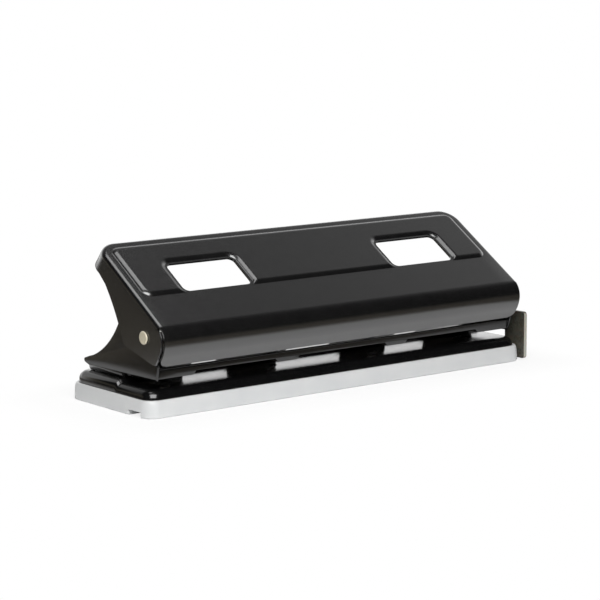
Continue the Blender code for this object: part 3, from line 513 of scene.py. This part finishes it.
def plate_contours():
    """Lines that follow the panel's step and the windows' recess, closest where the height changes."""
    lines = []
    for part in RAMP_LINES:
        inset = PANEL_RAMP * part
        low = (-PANEL_HALF_LENGTH + inset, PANEL_LOW + inset)
        high = (PANEL_HALF_LENGTH - inset, PANEL_HIGH - inset)
        lines.append(ring(low, high, PANEL_CORNER - inset, 8))
    for sign in (-1, 1):
        ends = sorted((sign * WINDOW_NEAR, sign * WINDOW_FAR))
        offsets = [0.0, WINDOW_MARGIN / 2] + [WINDOW_MARGIN + PANEL_RAMP * part for part in RAMP_LINES]
        for offset in offsets:
            low = (ends[0] - offset, WINDOW_LOW - offset)
            high = (ends[1] + offset, WINDOW_HIGH + offset)
            lines.append(ring(low, high, WINDOW_CORNER + offset, 10))
    return lines


def nose_rows():
    """The sheet's rows over lip and nose, as (point, angle), and the number of the first with a fold."""
    rows = []
    for angle in np.linspace(LIP_END_ANGLE, LIP_FLAT_ANGLE, 9)[:-1]:
        rows.append((on_lip(LIP_RADIUS, angle), angle))
    for angle in np.linspace(LIP_FLAT_ANGLE, NOSE_BOTTOM_ANGLE, 19)[:-1]:
        rows.append((on_lip(LIP_RADIUS, angle), angle))
    for angle in np.linspace(NOSE_BOTTOM_ANGLE, FOLD_END_ANGLE, 13)[:-1]:
        rows.append((on_circle(NOSE_CENTRE, NOSE_RADIUS, angle), angle))
    folded = len(rows)
    for angle in np.linspace(FOLD_END_ANGLE, NOSE_TOP_ANGLE, 7):
        rows.append((on_circle(NOSE_CENTRE, NOSE_RADIUS, angle), angle))
    return rows, folded


def row_half_width(number, folded, angle):
    """Half length of the sheet in one row: round lip corners, then the fold line."""
    if number >= folded:
        return LEVER_HALF_LENGTH - FOLD_RADIUS
    climbed = LIP_RADIUS * (LIP_END_ANGLE - angle)
    short = LIP_CORNER - min(max(climbed, 0.0), LIP_CORNER)
    return LIP_HALF_LENGTH - LIP_CORNER + math.sqrt(LIP_CORNER ** 2 - short ** 2)


def lever_sheet():
    """The pressed sheet's outer face: lip, nose, plate, folds, walls and cheeks."""
    bm = bmesh.new()
    rows, folded = nose_rows()
    grid = []
    for number, (point, angle) in enumerate(rows):
        half = row_half_width(number, folded, angle)
        places = [half * (2 * i / ACROSS - 1) for i in range(ACROSS + 1)]
        grid.append([bm.verts.new(point + Vector((x, 0, 0))) for x in places])
    for lower, upper in zip(grid, grid[1:]):
        for i in range(ACROSS):
            bm.faces.new((lower[i], lower[i + 1], upper[i + 1], upper[i]))
    edge = fold_line(bm, rows, grid, folded)
    loops = fold_loops(bm, edge)
    close_cheeks(bm, edge, loops)
    bmesh.ops.remove_doubles(bm, verts=bm.verts[:], dist=SHEET_MERGE)
    bmesh.ops.recalc_face_normals(bm, faces=bm.faces[:])
    return bm


def right_side(straight=8, corner=12):
    """The plate's right edge as (x, slope, turn), from the nose round the rear corner."""
    half = LEVER_HALF_LENGTH - FOLD_RADIUS
    start = -NOSE_BACK
    side = [(half, start + (CORNER_START_SLOPE - start) * i / straight, 0.0) for i in range(1, straight + 1)]
    for i in range(1, corner + 1):
        turn = math.pi / 2 * i / corner
        x = CORNER_START_X + PLATE_CORNER * math.cos(turn)
        side.append((x, CORNER_START_SLOPE + PLATE_CORNER * math.sin(turn), turn))
    return side


def fold_line(bm, rows, grid, folded):
    """Make the plate, and give the line where it folds: place, outward direction, normal and turn."""
    right = right_side()
    rear = [(CORNER_START_X * (1 - 2 * i / ACROSS), FLAT_END, math.pi / 2) for i in range(1, ACROSS)]
    left = [(-x, slope, turn) for x, slope, turn in reversed(right)]
    round_plate = right + rear + left
    outline = [(vertex.co.x, -NOSE_BACK) for vertex in grid[-1]]
    outline += [(x, slope) for x, slope, _ in round_plate]
    places, faces = filled(outline, plate_contours(), lambda x, slope: from_window(x, slope) > 0)
    made = [bm.verts.new(on_plate(x, slope, panel_rise(x, slope))) for x, slope in places]
    for face in faces:
        bm.faces.new([made[i] for i in face])
    nose = []
    for (_, angle), row in zip(rows[folded:], grid[folded:]):
        nose.append((row, Vector((0, math.cos(angle), math.sin(angle)))))
    line = [(row[-1].co.copy(), (1.0, 0.0), out, 0.0) for row, out in nose]
    for x, slope, turn in round_plate:
        outward = math.copysign(math.cos(turn), x)
        line.append((on_plate(x, slope), (outward, math.sin(turn)), PLATE_OUT, turn))
    line += [(row[0].co.copy(), (-1.0, 0.0), out, 0.0) for row, out in reversed(nose)]
    return line


def fold_loops(bm, line, steps=8):
    """Fold the wall down from the fold line. The last loop is the wall's lower edge round the rear."""
    loops = [[bm.verts.new(item[0]) for item in line]]
    square = math.pi / 2
    bends = [square + (SKIRT_BEND - square) * smooth_step(item[3], 0.0, math.pi / 2) for item in line]
    for step in range(1, steps + 1):
        loop = []
        for (place, side, out, _), bend in zip(line, bends):
            angle = bend * step / steps
            across = Vector((side[0], 0, 0)) + UP_SLOPE * side[1]
            flat = FOLD_RADIUS * math.sin(angle)
            drop = FOLD_RADIUS * (1 - math.cos(angle))
            loop.append(bm.verts.new(place + across * flat - out * drop))
        loops.append(loop)
    for upper, lower in zip(loops, loops[1:]):
        for i in range(len(line) - 1):
            bm.faces.new((upper[i], upper[i + 1], lower[i + 1], lower[i]))
    turns = [item[3] for item in line]
    ends = []
    for i, ((_, side, out, turn), bend, last) in enumerate(zip(line, bends, loops[-1])):
        if not any(near > 0.0 for near in turns[max(i - 1, 0):i + 2]):
            ends.append(None)
            continue
        depth = WALL_DEPTH_SIDE + (WALL_DEPTH_REAR - WALL_DEPTH_SIDE) * turn / (math.pi / 2)
        left_over = (depth - FOLD_RADIUS * (1 - math.cos(bend))) / math.sin(bend)
        across = Vector((side[0], 0, 0)) + UP_SLOPE * side[1]
        ends.append(bm.verts.new(last.co + (across * math.cos(bend) - out * math.sin(bend)) * left_over))
    for i in range(len(line) - 1):
        if ends[i] is not None and ends[i + 1] is not None:
            bm.faces.new((loops[-1][i], loops[-1][i + 1], ends[i + 1], ends[i]))
    return loops + [ends]


def cheek_free_edge():
    """Free edge of a cheek in Y and Z, from the rear wall's lower edge round to the fold's end."""
    points = arc(CHEEK_REAR_CENTRE, CHEEK_REAR_RADIUS, CHEEK_REAR_START, CHEEK_REAR_END, 14)
    points += arc(CHEEK_HEEL_CENTRE, CHEEK_HEEL_RADIUS, 10, -70, 10)
    points.append(CHEEK_TOE)
    for angle in np.linspace(LIP_END_ANGLE, NOSE_BOTTOM_ANGLE, 20):
        point = on_lip(LIP_RADIUS - CHEEK_SET_IN, angle)
        points.append((point.y, point.z))
    for angle in np.linspace(NOSE_BOTTOM_ANGLE, CHEEK_END_ANGLE, 12)[1:]:
        point = on_circle(NOSE_CENTRE, NOSE_RADIUS - CHEEK_SET_IN, angle)
        points.append((point.y, point.z))
    return points


def close_cheeks(bm, line, loops):
    """Fill each cheek between the folded side and its free edge, with the hinge's hole."""
    free = cheek_free_edge()
    inner = loops[-2]
    ends = loops[-1]
    hole = arc((PIVOT.y, PIVOT.z), HINGE_HOLE_RADIUS, 0, CIRCLE_END, CIRCLE_STEPS)
    straight = [i for i, item in enumerate(line) if item[3] == 0.0]
    right = [i for i in straight if line[i][0].x > 0]
    left = [i for i in straight if line[i][0].x < 0]

    def solid(y, z):
        return math.hypot(y - PIVOT.y, z - PIVOT.z) > HINGE_HOLE_RADIUS * 0.99

    for side, half in ((right, LEVER_HALF_LENGTH), (left[::-1], -LEVER_HALF_LENGTH)):
        outline = [(inner[i].co.y, inner[i].co.z) for i in side]
        outline.append((ends[side[-1]].co.y, ends[side[-1]].co.z))
        places, faces = filled(outline + free, [hole], solid)
        made = [bm.verts.new((half, y, z)) for y, z in places]
        for face in faces:
            bm.faces.new([made[i] for i in face])


def link(name, mesh, finish, body, slot, *nodes):
    """A new piece that stands for CAD nodes and rides on their body."""
    item = bpy.data.objects.new(name, mesh)
    bpy.context.scene.collection.objects.link(item)
    mesh.materials.append(finish)
    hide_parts(*nodes)
    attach(item, body)
    return item


def edge_bevel(item, width, angle):
    """Round the edges that bend by more than an angle in degrees."""
    step = item.modifiers.new("edge", "BEVEL")
    step.width = width
    step.segments = 2
    step.limit_method = "ANGLE"
    step.angle_limit = math.radians(angle)
    step.use_clamp_overlap = True
    step.harden_normals = True


def lever(finish):
    """The pressed sheet with its thickness and rounded edges."""
    bm = lever_sheet()
    mesh = bpy.data.meshes.new("lever_sheet")
    bm.to_mesh(mesh)
    bm.free()
    mesh.shade_smooth()
    item = link("lever_sheet", mesh, finish, "lever", "satin_enamel", "lever")
    shell = item.modifiers.new("sheet", "SOLIDIFY")
    shell.thickness = SHEET
    shell.offset = -1
    shell.use_even_offset = True
    edge_bevel(item, SHEET_EDGE_ROUND, SHEET_EDGE_ANGLE)
    return item


def sweep(bm, outline, start, end):
    """Run a closed outline of (across, up) points from start to end, two functions of such a point."""
    near = [bm.verts.new(start(a, b)) for a, b in outline]
    far = [bm.verts.new(end(a, b)) for a, b in outline]
    count = len(outline)
    for i in range(count):
        after = (i + 1) % count
        bm.faces.new((near[i], near[after], far[after], far[i]))
    bm.faces.new(near[::-1])
    bm.faces.new(far)


def cheek_bend():
    """Section of the bend under a cheek's rear, in X and Z: a quarter ellipse closed inside the sheet."""
    outer = CHEEK_OUTER - BEND_COVER
    inner = CHEEK_INNER - BEND_INSET
    section = []
    for turn in np.linspace(0, math.pi / 2, 9):
        x = outer - BEND_WIDTH * (1 - math.cos(turn))
        section.append((x, BEND_TOP - (BEND_TOP - BEND_BOTTOM) * math.sin(turn)))
    return section + [(inner, BEND_BOTTOM), (inner, BEND_TOP)]


def punch_frame(finish):
    """The frame's sheet with its bends: the cheeks' outer faces end higher, and turn in to the deck."""
    node = frame["nodes"]["punch_frame"]
    bm = bmesh.new()
    bm.from_mesh(node.data)
    bm.transform(node.matrix_world)
    bmesh.ops.remove_doubles(bm, verts=bm.verts[:], dist=MERGE)
    outer = (CHEEK_INNER + CHEEK_OUTER) / 2
    for vertex in bm.verts:
        place = vertex.co
        if abs(place.x) > outer and CHEEK_LOWEST < place.z < CHEEK_LIFT_TOP:
            place.z += CHEEK_LIFT * min(1.0, (CHEEK_LIFT_TOP - place.z) / CHEEK_LIFT_FADE)
    bead = arc((BEAD_Y, BEAD_Z), BEAD_RADIUS, 0, CIRCLE_END, CIRCLE_STEPS)
    sweep(bm, bead, lambda y, z: (-CHEEK_INNER, y, z), lambda y, z: (CHEEK_INNER, y, z))
    bend = cheek_bend()
    for side in (-1, 1):
        sweep(bm, bend, lambda x, z: (side * x, BEND_START, z), lambda x, z: (side * x, BEND_END, z))
    bmesh.ops.recalc_face_normals(bm, faces=bm.faces[:])
    mesh = bpy.data.meshes.new("frame_sheet")
    bm.to_mesh(mesh)
    bm.free()
    item = link("frame_sheet", mesh, finish, "punch", "gloss_enamel", "punch_frame")
    smooth_edges(item, FRAME_EDGE_ROUND, FRAME_EDGE_ANGLE)
    return item


def coil_route(x):
    """Points along the wire's middle: a helix whose first and last turns lie nearly flat."""
    points = []
    low = SPRING_LOW + WIRE_RADIUS
    high = SPRING_HIGH - WIRE_RADIUS
    for i in range(COIL_TURNS * COIL_STEPS + 1):
        turn = i / COIL_STEPS
        angle = math.tau * turn
        share = min(max((turn - CLOSED_TURNS) / (COIL_TURNS - 2 * CLOSED_TURNS), 0.0), 1.0)
        flat = (x + COIL_RADIUS * math.cos(angle), PIN_Y + COIL_RADIUS * math.sin(angle))
        points.append(Vector((*flat, low + (high - low) * share)))
    return points


def coil(number, x, finish):
    """A return spring with closed ends."""
    points = coil_route(x)
    last = len(points) - 1
    around = [math.tau * j / WIRE_SIDES for j in range(WIRE_SIDES)]
    bm = bmesh.new()
    rings = []
    for i, point in enumerate(points):
        along = (points[min(i + 1, last)] - points[max(i - 1, 0)]).normalized()
        out = Vector((point.x - x, point.y - PIN_Y, 0)).normalized()
        other = along.cross(out)
        offsets = [(out * math.cos(angle) + other * math.sin(angle)) * WIRE_RADIUS for angle in around]
        rings.append([bm.verts.new(point + offset) for offset in offsets])
    for near, far in zip(rings, rings[1:]):
        for j in range(WIRE_SIDES):
            after = (j + 1) % WIRE_SIDES
            bm.faces.new((near[j], near[after], far[after], far[j]))
    bm.faces.new(rings[0][::-1])
    bm.faces.new(rings[-1])
    bmesh.ops.recalc_face_normals(bm, faces=bm.faces[:])
    mesh = bpy.data.meshes.new(f"return_spring_{number}")
    bm.to_mesh(mesh)
    bm.free()
    mesh.shade_smooth()
    item = link(f"return_spring_{number}", mesh, finish, "punch", "spring_steel", f"punch_spring_{number}")
    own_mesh(item)
    return item


def smooth_edges(item, width, angle):
    """Merge flat facets, shade the curves smooth and round the edges."""
    item.data.shade_smooth()
    weld = item.modifiers.new("weld", "WELD")
    weld.merge_threshold = MERGE
    flat = item.modifiers.new("flat_faces", "DECIMATE")
    flat.decimate_type = "DISSOLVE"
    flat.angle_limit = math.radians(FLAT_ANGLE)
    edge_bevel(item, width, angle)


def dress(name, finish, width):
    """Give a CAD node its material, round shading and a small round on its edges."""
    item = frame["nodes"][name]
    item.data.materials.clear()
    item.data.materials.append(finish)
    custom = item.data.attributes.get("custom_normal")
    if custom is not None:
        item.data.attributes.remove(custom)
    smooth_edges(item, width, EDGE_ANGLE)


def dress_nodes(finishes):
    """Dress the CAD nodes, each with its finish and the round on its edges in metres."""
    dress("base_plate", finishes["gloss_enamel"], 0.00020)
    dress("chip_tray", finishes["frosted_plastic"], 0.00025)
    dress("paper_guide", finishes["smoky_plastic"], 0.00030)
    dress("press_bar", finishes["plated_steel"], 0.00020)
    for side in ("left", "right"):
        dress("hinge_pin_" + side, finishes["nickel"], 0.00015)
    small = [f"{name}_{number}" for number in range(1, 5) for name in ("punch_pin", "spring_seat")]
    small += [f"frame_rivet_{number}" for number in range(1, 9)]
    for name in small:
        dress(name, finishes["plated_steel"], 0.00010)


# Studio

def sum_of(made, *values):
    """Add up values, each a socket."""
    total = values[0]
    for value in values[1:]:
        step = made.node_tree.nodes.new("ShaderNodeMath")
        step.operation = "ADD"
        made.node_tree.links.new(total, step.inputs[0])
        made.node_tree.links.new(value, step.inputs[1])
        total = step.outputs["Value"]
    return total


def product(made, value, factor):
    """Multiply a socket by another socket or by a number."""
    step = made.node_tree.nodes.new("ShaderNodeMath")
    step.operation = "MULTIPLY"
    made.node_tree.links.new(value, step.inputs[0])
    if isinstance(factor, float):
        step.inputs[1].default_value = factor
    else:
        made.node_tree.links.new(factor, step.inputs[1])
    return step.outputs["Value"]


def eased(made, value, start, end, low, high):
    """Ease from low to high while the value runs from start to end."""
    step = made.node_tree.nodes.new("ShaderNodeMapRange")
    step.interpolation_type = "SMOOTHSTEP"
    step.inputs["From Min"].default_value = start
    step.inputs["From Max"].default_value = end
    step.inputs["To Min"].default_value = low
    step.inputs["To Max"].default_value = high
    made.node_tree.links.new(value, step.inputs["Value"])
    return step.outputs["Result"]


def vector_step(made, operation, value, other=None):
    """One step of vector arithmetic on a socket and a constant vector."""
    step = made.node_tree.nodes.new("ShaderNodeVectorMath")
    step.operation = operation
    made.node_tree.links.new(value, step.inputs[0])
    if other is not None:
        step.inputs[1].default_value = other
    return step


def distance_from_part(made):
    """How far a place on the floor is from the part's footprint."""
    place = made.node_tree.nodes.new("ShaderNodeNewGeometry").outputs["Position"]
    size = (Vector(cad_high) - Vector(cad_low)) / 2
    spread_out = vector_step(made, "ABSOLUTE", place).outputs["Vector"]
    over = vector_step(made, "SUBTRACT", spread_out, (size.x, size.y, 0)).outputs["Vector"]
    outside = vector_step(made, "MAXIMUM", over, (0, 0, 0)).outputs["Vector"]
    return vector_step(made, "LENGTH", outside).outputs["Value"]


def floor():
    """White sweep: bright paper round the part that takes its shadow, and a dim room's floor past it."""
    bm = bmesh.new()
    bmesh.ops.create_grid(bm, x_segments=2, y_segments=2, size=FLOOR_HALF_SIZE)
    mesh = bpy.data.meshes.new("floor")
    bm.to_mesh(mesh)
    bm.free()
    item = bpy.data.objects.new("floor", mesh)
    bpy.context.scene.collection.objects.link(item)
    made, nodes, links, shader = new_material("white_floor")
    nodes.remove(shader)
    away = distance_from_part(made)
    diffuse = nodes.new("ShaderNodeBsdfDiffuse")
    past_paper = eased(made, away, *PAPER_EDGE, 0.0, 1.0)
    links.new(two_colours(made, past_paper, PAPER_TONE, ROOM_TONE), diffuse.inputs["Color"])
    glow = nodes.new("ShaderNodeEmission")
    glow.inputs["Color"].default_value = (1, 1, 1, 1)
    path = nodes.new("ShaderNodeLightPath")
    white = eased(made, away, 0.0, SHADOW_REACH, *WHITE_SHARE)
    to_camera = product(made, path.outputs["Is Camera Ray"], white)
    mirrored = sum_of(made, path.outputs["Is Glossy Ray"], path.outputs["Is Transmission Ray"])
    mix = nodes.new("ShaderNodeMixShader")
    links.new(sum_of(made, to_camera, product(made, mirrored, MIRRORED_SHARE)), mix.inputs["Fac"])
    links.new(diffuse.outputs["BSDF"], mix.inputs[1])
    links.new(glow.outputs["Emission"], mix.inputs[2])
    links.new(mix.outputs["Shader"], nodes["Material Output"].inputs["Surface"])
    mesh.materials.append(made)


def world():
    """White to the camera; for light and reflections, a bright backdrop behind the part in a dim room."""
    sky = bpy.data.worlds.new("studio")
    bpy.context.scene.world = sky
    sky.use_nodes = True
    nodes = sky.node_tree.nodes
    links = sky.node_tree.links
    background = nodes["Background"]
    place = nodes.new("ShaderNodeTexCoord")
    split = nodes.new("ShaderNodeSeparateXYZ")
    links.new(place.outputs["Generated"], split.inputs["Vector"])
    towards = (math.sin(CAMERA_YAW), math.cos(CAMERA_YAW), 0)
    ahead = vector_step(sky, "DOT_PRODUCT", place.outputs["Generated"], towards).outputs["Value"]
    across = eased(sky, ahead, *BACKDROP_EDGE, 0.0, 1.0)
    height = eased(sky, split.outputs["Z"], *BACKDROP_TOP, BACKDROP_LIGHT, 0.0)
    room = nodes.new("ShaderNodeValue")
    room.outputs["Value"].default_value = ROOM_LIGHT
    links.new(sum_of(sky, product(sky, across, height), room.outputs["Value"]), background.inputs["Strength"])
    background.inputs["Color"].default_value = (1, 1, 1, 1)
    white = nodes.new("ShaderNodeBackground")
    white.inputs["Color"].default_value = (1, 1, 1, 1)
    path = nodes.new("ShaderNodeLightPath")
    mix = nodes.new("ShaderNodeMixShader")
    links.new(path.outputs["Is Camera Ray"], mix.inputs["Fac"])
    links.new(background.outputs["Background"], mix.inputs[1])
    links.new(white.outputs["Background"], mix.inputs[2])
    links.new(mix.outputs["Shader"], nodes["World Output"].inputs["Surface"])


def softbox(name, place, target, size, power, colour=(1, 1, 1)):
    """A soft rectangular lamp that the camera doesn't see."""
    lamp = bpy.data.lights.new(name, "AREA")
    lamp.shape = "RECTANGLE"
    lamp.size = size[0]
    lamp.size_y = size[1]
    lamp.energy = power
    lamp.color = colour
    item = bpy.data.objects.new(name, lamp)
    bpy.context.scene.collection.objects.link(item)
    item.visible_camera = False
    item.location = place
    item.rotation_euler = (Vector(target) - Vector(place)).to_track_quat("-Z", "Y").to_euler()


def lights():
    """The three lamps, none of which the camera sees."""
    softbox("key_softbox", KEY_PLACE, KEY_TARGET, KEY_SIZE, KEY_POWER)
    softbox("top_softbox", TOP_PLACE, TOP_TARGET, TOP_SIZE, TOP_POWER)
    softbox("left_card", CARD_PLACE, CARD_TARGET, CARD_SIZE, CARD_POWER, CARD_COLOUR)


def camera():
    """The photograph's camera, turned by yaw, pitch and roll."""
    level = math.cos(CAMERA_PITCH)
    forward = Vector((math.sin(CAMERA_YAW) * level, math.cos(CAMERA_YAW) * level, -math.sin(CAMERA_PITCH)))
    right = Vector((math.cos(CAMERA_YAW), -math.sin(CAMERA_YAW), 0))
    up = right.cross(forward)
    rolled_right = right * math.cos(CAMERA_ROLL) + up * math.sin(CAMERA_ROLL)
    rolled_up = up * math.cos(CAMERA_ROLL) - right * math.sin(CAMERA_ROLL)
    lens = bpy.data.cameras.new("camera")
    lens.lens = CAMERA_LENS
    lens.sensor_width = 36
    lens.clip_start = 0.05
    lens.clip_end = 100
    item = bpy.data.objects.new("camera", lens)
    bpy.context.scene.collection.objects.link(item)
    matrix = Matrix((rolled_right, rolled_up, -forward)).transposed().to_4x4()
    matrix.translation = CAMERA_PLACE
    item.matrix_world = matrix
    bpy.context.scene.camera = item


def build():
    """Make the materials, dress the part, and set up the studio."""
    makers = (satin_enamel, gloss_enamel, frosted_plastic, smoky_plastic, plated_steel, spring_steel, nickel)
    finishes = {maker.__name__: maker() for maker in makers}
    dress_nodes(finishes)
    lever(finishes["satin_enamel"])
    punch_frame(finishes["gloss_enamel"])
    for number, x in enumerate(STATIONS, 1):
        coil(number, x, finishes["spring_steel"])
    floor()
    world()
    lights()
    camera()
    bpy.context.scene.view_settings.view_transform = "Standard"


build()
